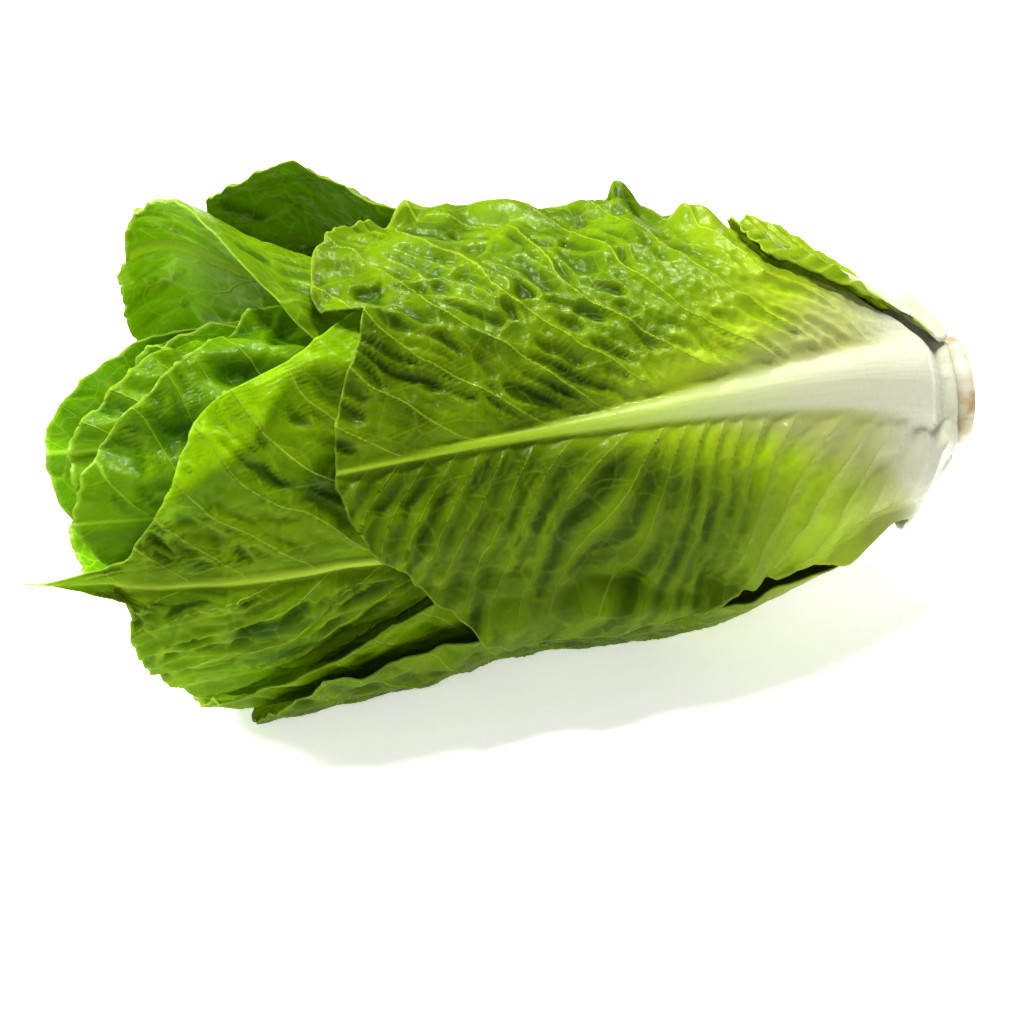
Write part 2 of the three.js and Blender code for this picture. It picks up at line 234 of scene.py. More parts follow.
class Nodes:
    """The node tree of one material, which nodes are added to from Python."""

    def __init__(self, name: str) -> None:
        """Makes an empty material.

        Args:
            name: the material's name
        """
        self.material = bpy.data.materials.new(name)
        self.material.use_nodes = True
        self.tree = self.material.node_tree
        self.tree.nodes.clear()

    def add(self, kind: str, settings: dict[str, Any] | None = None, inputs: dict[Any, Any] | None = None,
            output: int | str = 0) -> "Shade":
        """Adds one node.

        Args:
            kind: the node's type.
            settings: the node's own properties, which are set first.
            inputs: a value or a link for each socket, by name or by number.
            output: which output is given back.

        Returns:
            The output, ready for use in an expression.
        """
        node = self.tree.nodes.new(kind)
        for key, value in (settings or {}).items():
            setattr(node, key, value)
        for key, value in (inputs or {}).items():
            socket = node.inputs[key]
            if isinstance(value, Shade):
                self.tree.links.new(value.socket, socket)
            else:
                socket.default_value = value
        return Shade(self, node.outputs[output])

    def attribute(self, name: str) -> "Shade":
        """A number that the piece's mesh holds at each point."""
        return self.add("ShaderNodeAttribute", {"attribute_name": name}, output="Fac")

    def place(self) -> "Shade":
        """The piece's own UV map, in decimetres across and along the leaf."""
        return self.add("ShaderNodeUVMap", {"uv_map": "blade"})

    def noise(self, vector: "Shade", scale: float, detail: float = 3.0) -> "Shade":
        """Plain noise from 0 to 1."""
        return self.add("ShaderNodeTexNoise", {}, {"Vector": vector, "Scale": scale, "Detail": detail})

    def blend(self, factor: Any, a: Any, b: Any) -> "Shade":
        """Two colours mixed by a factor."""
        return self.add("ShaderNodeMix", {"data_type": "RGBA"}, {0: factor, 6: a, 7: b}, 2)

    def ramp(self, value: "Shade", low: float, high: float, start: float = 0.0, end: float = 1.0) -> "Shade":
        """A number that goes smoothly from start to end while value goes from low to high."""
        return self.add("ShaderNodeMapRange", {"interpolation_type": "SMOOTHSTEP"},
                        {"Value": value, "From Min": low, "From Max": high, "To Min": start, "To Max": end})

    def line(self, phase: "Shade", width: float) -> "Shade":
        """1 on the lines where phase is a whole number, and 0 beyond a width."""
        return self.ramp(((phase + 0.5).fraction() - 0.5).size(), 0.0, width, 1.0, 0.0)

    def finish(self, surface: "Shade") -> bpy.types.Material:
        """Links the shader to the material's surface.

        Args:
            surface: the shader's output
        Returns:
            The finished material
        """
        output = self.tree.nodes.new("ShaderNodeOutputMaterial")
        self.tree.links.new(surface.socket, output.inputs["Surface"])
        return self.material


class Shade:
    """A socket that can be reckoned with like a number."""

    def __init__(self, nodes: Nodes, socket: bpy.types.NodeSocket) -> None:
        """Wraps a node's output."""
        self.nodes = nodes
        self.socket = socket

    def _math(self, operation: str, *values: Any) -> "Shade":
        """Adds a Math node."""
        return self.nodes.add("ShaderNodeMath", {"operation": operation}, dict(enumerate(values)))

    def __add__(self, other: Any) -> "Shade":
        """The sum."""
        return self._math("ADD", self, other)

    __radd__ = __add__

    def __sub__(self, other: Any) -> "Shade":
        """The difference."""
        return self._math("SUBTRACT", self, other)

    def __rsub__(self, other: Any) -> "Shade":
        """The difference from a number."""
        return self._math("SUBTRACT", other, self)

    def __mul__(self, other: Any) -> "Shade":
        """The product."""
        return self._math("MULTIPLY", self, other)

    __rmul__ = __mul__

    def fraction(self) -> "Shade":
        """What is left of a number without its whole part."""
        return self._math("FRACT", self)

    def size(self) -> "Shade":
        """The number without its sign."""
        return self._math("ABSOLUTE", self)

    def larger(self, other: Any) -> "Shade":
        """The larger of two numbers."""
        return self._math("MAXIMUM", self, other)


@dataclass(frozen=True)
class LeafFinish:
    """How a leaf's skin looks, from its pale foot to its thin margin."""

    slot: str
    outer: Colour
    # dark green for the random patches and freckles, and painted shade in the pockets and sunk folds
    dark_green_and_shade: Colour
    inner: Colour
    vein: Colour
    glow: Colour
    through: float = 0.36
    roughness: float = 0.28
    foot: Colour = (0.54, 0.55, 0.43, 1.0)
    blanched: Colour = (0.39, 0.42, 0.15, 1.0)
    lime: Colour = (0.37, 0.47, 0.030, 1.0)
    # painted rim light: a lighter green for the margins
    edge: Colour = (0.38, 0.48, 0.06, 1.0)
    # painted backlight: a bright yellow-green for skin as if lit from behind
    painted_backlight: Colour = (0.46, 0.70, 0.002, 1.0)

    def material(self) -> bpy.types.Material:
        """The finish as a material.

        Returns:
            A glossy skin with veins and wrinkles that lets some light through, with painted shade in its
            pockets and sunk folds, a painted rim light along its margins and a painted backlight past a
            ridge.
        """
        nodes = Nodes(f"{self.slot}_skin")
        place = nodes.place()
        vein, cross = nodes.attribute("vein"), nodes.attribute("cross")
        rib, pale, edge = nodes.attribute("rib"), nodes.attribute("pale"), nodes.attribute("edge")
        inside, shaded_pocket = nodes.attribute("inside"), nodes.attribute("shaded_pocket")
        painted_backlight = nodes.attribute("painted_backlight")

        patches = nodes.noise(place, 6.0, 1.0)
        speckle = nodes.noise(place, 70.0, 2.0)
        sway = nodes.add("ShaderNodeTexNoise", {}, {"Vector": place, "Scale": 22.0, "Detail": 0.0}, "Color")
        swayed = nodes.add("ShaderNodeVectorMath", {"operation": "MULTIPLY_ADD"},
                           {0: sway, 1: (0.035, 0.035, 0.0), 2: place})
        coarse = nodes.add("ShaderNodeTexVoronoi", {"feature": "DISTANCE_TO_EDGE"},
                           {"Vector": swayed, "Scale": 10.0})
        fine = nodes.add("ShaderNodeTexVoronoi", {"feature": "DISTANCE_TO_EDGE"},
                         {"Vector": swayed, "Scale": 36.0})
        net = nodes.ramp(coarse, 0.0, 0.05, 1.0, 0.0).larger(0.3 * nodes.ramp(fine, 0.0, 0.09, 1.0, 0.0))
        main = nodes.line(vein, 0.034)
        twig = nodes.line(cross, 0.03)
        net = net * (1 - rib)
        bold = nodes.attribute("bold") * (1 - rib)
        veins = (main.larger(twig * 0.35) * bold).larger(net * (0.22 + 0.65 * inside))

        skin = nodes.blend(nodes.ramp(patches, 0.3, 0.8, 0.0, 0.6), self.outer, self.dark_green_and_shade)
        # painted shade: the pockets between the veins are darkened towards the dark green
        skin = nodes.blend(nodes.ramp(shaded_pocket, 0.15, 0.9, 0.0, 0.92), skin, self.dark_green_and_shade)
        # painted shade: on the inner face the pockets keep more of the dark green
        skin = nodes.blend((0.85 - 0.6 * shaded_pocket) * inside, skin, self.inner)
        # painted backlight: past the ridge the skin is painted a bright yellow-green as if lit from behind
        skin = nodes.blend(painted_backlight, skin, self.painted_backlight)
        up = nodes.add("ShaderNodeSeparateXYZ", {}, {0: place}, 1)
        streaked = nodes.add("ShaderNodeMapping", {}, {"Vector": place, "Scale": (60.0, 2.5, 1.0)})
        fibre = nodes.noise(streaked, 1.5, 3.0)
        skin = nodes.blend(veins * 0.75, skin, self.vein)
        # where the leaf turns pale, the pockets are painted the bright backlit green rather than the lime
        skin = nodes.blend(nodes.ramp(pale, 0.0, 0.55, 0.0, 0.92), skin,
                           nodes.blend(0.8 * shaded_pocket, self.lime, self.painted_backlight))
        skin = nodes.blend(nodes.ramp(pale, 0.5, 0.9), skin, self.blanched)
        whitest = nodes.ramp(pale, 0.8, 1.0) * nodes.ramp(up, 0.12, 0.40, 1.0, 0.0)
        skin = nodes.blend(whitest, skin, self.foot)
        rib_skin = nodes.blend(nodes.ramp(up, 0.35, 1.35), self.foot, self.vein)
        skin = nodes.blend(rib * nodes.ramp(fibre, 0.3, 0.7, 0.82, 0.98), skin, rib_skin)
        # painted rim light: a thin lighter line along the margins
        skin = nodes.blend(edge * 0.6, skin, self.edge)
        freckles = nodes.ramp(speckle, 0.3, 0.75, 0.0, 0.16) * (1 - pale) * (1 - rib)
        skin = nodes.blend(freckles, skin, self.dark_green_and_shade)

        wrinkle = nodes.noise(place, 26.0, 3.0)
        plain = (1 - rib * 0.8) * (1 - pale * 0.7)
        height = (wrinkle * 0.7 + speckle * 0.3 + main * 0.7) * plain + rib * fibre * 0.5
        bump = nodes.add("ShaderNodeBump", {}, {"Strength": 0.5, "Distance": 0.0007, "Height": height})
        skin_shader = nodes.add("ShaderNodeBsdfPrincipled", {}, {
            "Base Color": skin, "Roughness": nodes.ramp(speckle, 0.2, 0.8, self.roughness - 0.08,
                                                        self.roughness + 0.14),
            "Normal": bump, "IOR": 1.42, "Specular IOR Level": 0.15})
        lit = nodes.add("ShaderNodeBsdfTranslucent", {}, {"Color": self.glow})
        # less light comes through the pockets of the inner face, a painted shade; past the ridge more comes
        # through
        share = (self.through + 0.22 * painted_backlight - 0.22 * shaded_pocket * inside) * (1 - rib * 0.7) * (1 - pale * 0.7)
        return nodes.finish(nodes.add("ShaderNodeMixShader", {}, {0: share, 1: skin_shader, 2: lit}))


class Layer(Enum):
    """Where in the head a leaf sits, which settles how green and how glossy it is."""

    HEART = LeafFinish(
        slot="heart_leaf", outer=(0.34, 0.46, 0.045, 1), dark_green_and_shade=(0.20, 0.34, 0.02, 1),
        inner=(0.34, 0.50, 0.04, 1), vein=(0.60, 0.68, 0.22, 1), glow=(0.50, 0.62, 0.03, 1),
    )
    INNER = LeafFinish(
        slot="inner_leaf", outer=(0.20, 0.34, 0.003, 1), dark_green_and_shade=(0.050, 0.14, 0.001, 1),
        inner=(0.16, 0.38, 0.002, 1), vein=(0.36, 0.54, 0.035, 1), glow=(0.46, 0.68, 0.004, 1),
    )
    MIDDLE = LeafFinish(
        slot="middle_leaf", outer=(0.225, 0.345, 0.002, 1), dark_green_and_shade=(0.042, 0.095, 0.001, 1),
        inner=(0.24, 0.45, 0.002, 1), vein=(0.48, 0.62, 0.070, 1), glow=(0.48, 0.70, 0.004, 1),
    )
    OUTER = LeafFinish(
        slot="outer_leaf", outer=(0.20, 0.31, 0.003, 1), dark_green_and_shade=(0.042, 0.088, 0.002, 1),
        inner=(0.15, 0.38, 0.002, 1), vein=(0.44, 0.60, 0.045, 1), glow=(0.38, 0.52, 0.002, 1),
    )
    STUB = LeafFinish(
        slot="stub_leaf", outer=(0.36, 0.46, 0.015, 1), dark_green_and_shade=(0.16, 0.28, 0.005, 1),
        inner=(0.28, 0.46, 0.006, 1), vein=(0.50, 0.58, 0.07, 1), glow=(0.55, 0.66, 0.01, 1),
    )


@dataclass(frozen=True)
class Leaf:
    """One leaf: its place round the stem, its outline, and how its skin puckers between the veins.

    The fields are in millimetres and degrees. phi is the angle of the rib at the root and turn what it
    drifts by at the tip; root is u at the attachment; cap is u of the tip margin from one side to the other;
    half is the half width on both sides of the rib and neck that at the root; hug is the half width at the
    root and the share of the length at which the width is full, where the side of the larger angles has its
    own; depth is the share of the body's radius; flare adds to the radius; lift raises the side margins;
    wave and waves are the ruffles; rib is the rib's width and height at the root; floor is the lowest z.
    tongue is a point that the tip runs out in, as its length and share of the half width; folds are places
    that stand up or sink in, as u, angle, height and reach along and round the head, where the ones that
    sink in are also painted in shade; lobes are tears of the tip margin, as place, start, height, fade and
    depth of the notch. pucker is the height of the skin between the veins on both sides and fade how far
    from the rib it fades; cell is the length of a pucker, spacing the distance of the side veins and lean
    how far they run towards the tip; billow is the height of the broad swells; shown is the share of the
    length from which the skin shows; painted_backlight is a fold line along the leaf, as u and the distance
    from the rib, past which the skin is thin, lets more light through and is painted bright as if lit from
    behind; blanch is how far the white of the foot reaches, and how much further it does by the rib; grid is
    the number of faces across and along.
    """

    name: str
    layer: Layer
    phi: float
    turn: float
    root: float
    cap: tuple[float, ...]
    half: tuple[float, float]
    neck: float
    depth: float
    flare: Knots
    lift: tuple[float, float]
    wave: float
    waves: int
    rib: tuple[float, float]
    floor: float
    tongue: tuple[float, float] = (0.0, 1.0)
    folds: tuple[tuple[float, float, float, float, float], ...] = ()
    lobes: tuple[tuple[float, float, float, float, float], ...] = ()
    pucker: tuple[float, float] = (1.0, 1.0)
    spacing: tuple[float, float] = (15.0, 15.0)
    lean: tuple[float, float] = (0.8, 0.8)
    cell: float = 11.0
    fade: tuple[float, float] = (90.0, 90.0)
    hug: tuple[float, float] | None = None
    blanch: tuple[float, float] = (78.0, 22.0)
    billow: float = 1.0
    shown: float = 0.25
    painted_backlight: Knots = ((0, 200), (1, 200))
    grid: tuple[int, int] = (110, 120)

    BLADE = 0.6
    GAP = 0.45
    CLASP = 0.07
    RIB_SHARE = 0.62
    SOFT_FLOOR = 2.0
    PUCKER_WIDTH = 7.5
    PLEATED = 10
    ROUNDED_ROOT = 3.2
    SLANTED_ROOT = 9
    VEIN_RIDGE = 0.8

    @property
    def seed(self) -> int:
        """A number that makes this leaf's puckers its own."""
        return int(self.phi * 7 + self.root)

    def _relief(self, x: Array, y: Array, side: Array) -> dict[str, Array]:
        """The veins and the puckered skin between them, laid out on the flat leaf.

        Args:
            x: distance from the rib, across.
            y: distance from the root, along the rib.
            side: 0 on one side of the rib and 1 on the other.

        Returns:
            The height of the skin, and the numbers that its colours follow, among them the pockets between
            the veins, which the skin paints in shade.
        """
        away = np.abs(x)
        spacing, lean = np.where(side, *self.spacing[::-1]), np.where(side, *self.lean[::-1])
        run = lean * away + 12 * (1 - np.exp(-away / 12))
        uneven = 7 * noise(y / 31, side * 3.0, self.seed + 9)
        wander = 0.5 * noise(x / 34, y / 30, self.seed) + 0.09 * noise(x / 8, y / 8, self.seed + 1)
        vein = (y - run + uneven) / spacing + wander * smooth(away / 20) + 0.5 * side + 40
        strip = np.floor(vein)
        across = vein - strip
        cross = away / self.cell + 5 * scatter(strip, side, self.seed + 2)
        cross += 0.25 * noise(x / 9, y / 9, self.seed)
        sway = 0.45 * noise(x / 10, y / 10, self.seed + 14)
        along_rib, from_rib = vein * spacing / self.PUCKER_WIDTH, away / self.cell
        border, own = cells(along_rib + sway, from_rib + sway, self.seed + 15)
        small, _ = cells(x / 3.4 + sway, y / 3.4 + sway, self.seed + 18)
        # the sunken middle of each cell, which the skin paints in shade
        shaded_pocket = smooth(border / 0.55) * (4 * across * (1 - across)) ** 0.4 * mix(0.3, 1, own)
        ridge = np.exp(-((across - np.round(across)) * spacing / self.VEIN_RIDGE) ** 2)
        fade = np.where(side, *self.fade[::-1])
        height = np.where(side, *self.pucker[::-1]) * mix(0.15, 1, np.exp(-((away / fade) ** 2)))
        streak = noise(vein * 2.3, away / 13, self.seed + 10)
        crease = 1 - np.abs(noise(vein * 1.7 + 3, away / 9 + 0.5 * streak, self.seed + 11))
        rough = 0.5 * (1 + streak) / 2 + 0.5 * crease**4
        pleated = spacing < self.PLEATED
        pleat = (4 * across * (1 - across)) ** 1.6 * mix(0.35, 1, own)
        strips = 1 - (4 * across * (1 - across)) ** 0.75
        cells_share, strips_share = np.where(pleated, 0.35, 0.85), np.where(pleated, 0.75, 0.35)
        skin = height * (cells_share * (1 - shaded_pocket) + strips_share * strips
                         + 0.3 * rough + 0.12 * (1 - smooth(small / 0.5)))
        skin += 0.25 * ridge * np.exp(-away / fade)
        skin += 0.08 * noise(x / 2.2, y / 2.2, self.seed + 4)
        return {"skin": skin, "vein": vein, "cross": cross, "shaded_pocket": np.where(pleated, pleat, shaded_pocket)}

    def faces(self, s: Array, t: Array, girth: Girth) -> tuple[Array, Array, dict[str, Array]]:
        """The leaf's outer and inner face at points of its outline.

        Args:
            s: from 0 at the root to 1 at the tip margin.
            t: from -1 at one side margin to 1 at the other.
            girth: what the leaf is laid over; it grows by the leaf.

        Returns:
            The points of both faces in metres, and the numbers that the colours follow.
        """
        side = (t >= 0).astype(int)
        knots = [(2 * k / (len(self.cap) - 1) - 1, u) for k, u in enumerate(self.cap)]
        length, width = self.tongue
        tongue = length * np.maximum(0, 1 - np.abs(t) / width) ** 1.2 * s**4
        crenel = 0.7 * noise(t * 14, s * 0, self.seed + 5) + 0.45 * noise(t * 31, s * 0, self.seed + 6)
        notch = sum(depth * np.exp(-np.where(t > split, (t - split) / 0.09, (split - t) / 0.012))
                    for split, _, _, _, depth in self.lobes)
        tip_margin = along(knots, t) + tongue + crenel * s**8 - notch * s**8
        u = mix(self.root + self.SLANTED_ROOT * t**6, tip_margin, s)
        core = stem_radius(u) + self.GAP
        body = np.maximum(along(BODY, u), core)
        grown = mix(core, body, self.depth * smooth(s / self.CLASP)) + along(self.flare, u)
        neck, full_at = self.hug or (self.neck, self.RIB_SHARE)
        half = np.where(side, mix(neck, self.half[1], smooth(s / full_at)),
                        mix(self.neck, self.half[0], smooth(s / self.RIB_SHARE)))
        fringe = 0.8 * noise(s * 18, side * 9.0, self.seed + 7) * np.abs(t) ** 8
        x = t * (half + fringe)
        angle = np.radians(self.phi + self.turn * s) + x / np.maximum(grown, half / 2.6)

        y = u - self.root
        away = np.abs(x)
        rib_half = self.rib[0] / 2 * (1 - s) ** 2.2 + 0.8
        relief = self._relief(x, y, side)
        full_skin = 0.25 * (self.cap[len(self.cap) // 2] - self.root)
        skin_share = smooth((away - rib_half * 0.8) / 5) * smooth((y - 8) / full_skin)
        skin_share *= 1 - 0.4 * np.abs(t) ** 6
        skin_share *= smooth((s - self.shown + 0.12 - 0.1 * side * (self.spacing[1] < self.PLEATED)) / 0.24)
        skin = relief["skin"] * skin_share
        skin += self.billow * (1 + noise(x / 27, y / 33, self.seed + 8)) * smooth((s - self.shown) / 0.3)

        margin, tip = np.abs(t) ** 3 * smooth(2 * s), s**5 * (1 - np.abs(t) ** 3)
        phase = self.phi / 57 + side * 2.1
        ruffle = self.wave * (margin * np.sin(2 * np.pi * self.waves * s + phase)
                              + tip * np.sin(0.75 * np.pi * t * self.waves + phase))
        ruffle += 0.35 * self.wave * (margin * np.sin(5.3 * np.pi * self.waves * s + 2 * phase)
                                      + tip * np.sin(2.3 * np.pi * t * self.waves + phase))
        # painted shade in the folds that sink in: their share darkens the skin like a pocket and takes out
        # the painted backlight
        sunk_fold_shade = np.zeros(u.shape)
        for at, toward, height, reach, spread in self.folds:
            off = (np.degrees(angle) - toward + 180) % 360 - 180
            reaches = np.where(u < at, 1.9, 0.8) * reach
            share = np.exp(-(((u - at) / reaches) ** 2) - (off / spread) ** 2)
            ruffle += height * share
            if height < 0:
                sunk_fold_shade = np.maximum(sunk_fold_shade, share)
        lifted = grown + np.where(side, *self.lift[::-1]) * t * t * s + ruffle
        inner = soft_max(lifted, girth.rounded(u, angle) + self.GAP, 1.0) + skin
        # past this ridge line the skin lets more light through and is painted bright as if lit from behind
        past_ridge = -x - along(self.painted_backlight, u)
        inner += 3 * np.where(past_ridge > 0, np.exp(-past_ridge / 25), np.exp(-((past_ridge / 4) ** 2)))
        for split, start, height, fade, _ in self.lobes:
            past = t - split - 0.27 * np.clip((1 - s) / (1 - start), 0, 1) ** 1.7
            rise = smooth(past / 0.035 + 0.5) * np.exp(-np.maximum(past, 0) / fade)
            inner += height * rise * smooth((s - start) / (1 - start))

        across = away / rib_half
        rise = mix(0.3, 1, smooth(s / self.CLASP)) * (self.rib[1] * (1 - s) ** 1.3 + 0.5)
        ridge = np.maximum(0, 1 - (across / 1.25) ** 2) ** 1.4
        thickness = self.BLADE + rise * ridge
        end = np.clip((u - self.root) / self.ROUNDED_ROOT, 0, 1)
        thickness *= 0.2 + 0.8 * np.sqrt(1 - (1 - end) ** 2)
        outer = inner + thickness
        girth.cover(u, angle, outer)

        def place(r: Array, lowest: Any) -> Array:
            """Turns the polar coordinates into points of the part's frame, none of them under the floor.

            Args:
                r: each point's distance from the axis
                lowest: the least height it may have
            Returns:
                The points, in metres
            """
            z = AXIS_HEIGHT + r * np.cos(angle)
            z = soft_max(z, lowest, self.SOFT_FLOOR) if self.floor > 0 else np.maximum(z, lowest)
            return np.stack([CUT_FACE_X - u, -r * np.sin(angle), z], 1) * MM

        near_rib = np.exp(-((away / (rib_half + np.where(side, 11, 13))) ** 2))
        reach, rib_reach = self.blanch
        pale = 1 - np.clip((u - 12 - np.where(side, 2.4, 2.2) * rib_reach * near_rib) / reach, 0, 1)
        numbers = {
            "vein": relief["vein"], "cross": relief["cross"],
            # painted shade in the pockets between the veins and in the sunk folds
            "shaded_pocket": np.maximum(relief["shaded_pocket"] * skin_share, sunk_fold_shade),
            "rib": smooth(2.2 * (1.12 - across)) * (1 - 0.25 * s),
            "bold": mix(1, np.where(side, 0.45, 0.8), smooth((away - 8) / 40)),
            "pale": pale,
            # the margins, which the skin paints lighter as a rim light
            "edge": np.maximum(smooth((np.abs(t) - 0.993) / 0.005), smooth((s - 0.996) / 0.003)),
            # painted backlight past the ridge, none in the sunk folds
            "painted_backlight": smooth(past_ridge / 5 + 0.5) * (1 - sunk_fold_shade),
            "across": x, "along": y,
        }
        return place(outer, self.floor), place(inner, self.floor + thickness), numbers

    def build(self, girth: Girth) -> bpy.types.Object:
        """Makes the leaf as one closed blade and lays it over what the head has grown to.

        Args:
            girth: what the leaf is laid over; it grows by the leaf.

        Returns:
            The piece, in place of the plain leaf.
        """
        bm = bmesh.new()
        columns, rows = self.grid
        bmesh.ops.create_grid(bm, x_segments=columns, y_segments=rows, size=1.0)
        bmesh.ops.solidify(bm, geom=bm.faces[:], thickness=0.01)
        mesh = bpy.data.meshes.new(f"{self.name}_blade")
        bm.to_mesh(mesh)
        bm.free()

        flat = np.zeros(len(mesh.vertices) * 3, np.float32)
        mesh.vertices.foreach_get("co", flat)
        flat = flat.reshape(-1, 3).astype(float)
        is_inner = flat[:, 2] > (flat[:, 2].max() + flat[:, 2].min()) / 2
        t = np.clip(flat[:, 0], -1, 1)
        s = np.clip((flat[:, 1] + 1) / 2, 0, 1)
        outer, inner, numbers = self.faces(s, t, girth)
        points = np.where(is_inner[:, None], inner, outer)
        mesh.vertices.foreach_set("co", points.astype(np.float32).ravel())
        self._mark(mesh, numbers, is_inner)
        mesh.update()

        leaf = bpy.data.objects.new(f"{self.name}_fine", mesh)
        bpy.context.scene.collection.objects.link(leaf)
        return leaf

    def _mark(self, mesh: bpy.types.Mesh, numbers: dict[str, Array], is_inner: Array) -> None:
        """Gives the mesh the numbers and the UV map that its material follows.

        Args:
            mesh: the blade.
            numbers: the numbers at each point, with its distance across and along the flat leaf.
            is_inner: which points lie on the inner face.
        """
        for name in ("vein", "cross", "shaded_pocket", "rib", "pale", "edge", "painted_backlight", "bold"):
            attribute = mesh.attributes.new(name, "FLOAT", "POINT")
            attribute.data.foreach_set("value", numbers[name].astype(np.float32))
        inside = mesh.attributes.new("inside", "FLOAT", "POINT")
        inside.data.foreach_set("value", is_inner.astype(np.float32))
        corners = np.zeros(len(mesh.loops), np.int32)
        mesh.loops.foreach_get("vertex_index", corners)
        uv = np.stack([numbers["across"], numbers["along"]], 1) / 100
        mesh.uv_layers.new(name="blade").data.foreach_set("uv", uv[corners].astype(np.float32).ravel())
        mesh.polygons.foreach_set("use_smooth", np.ones(len(mesh.polygons), bool))


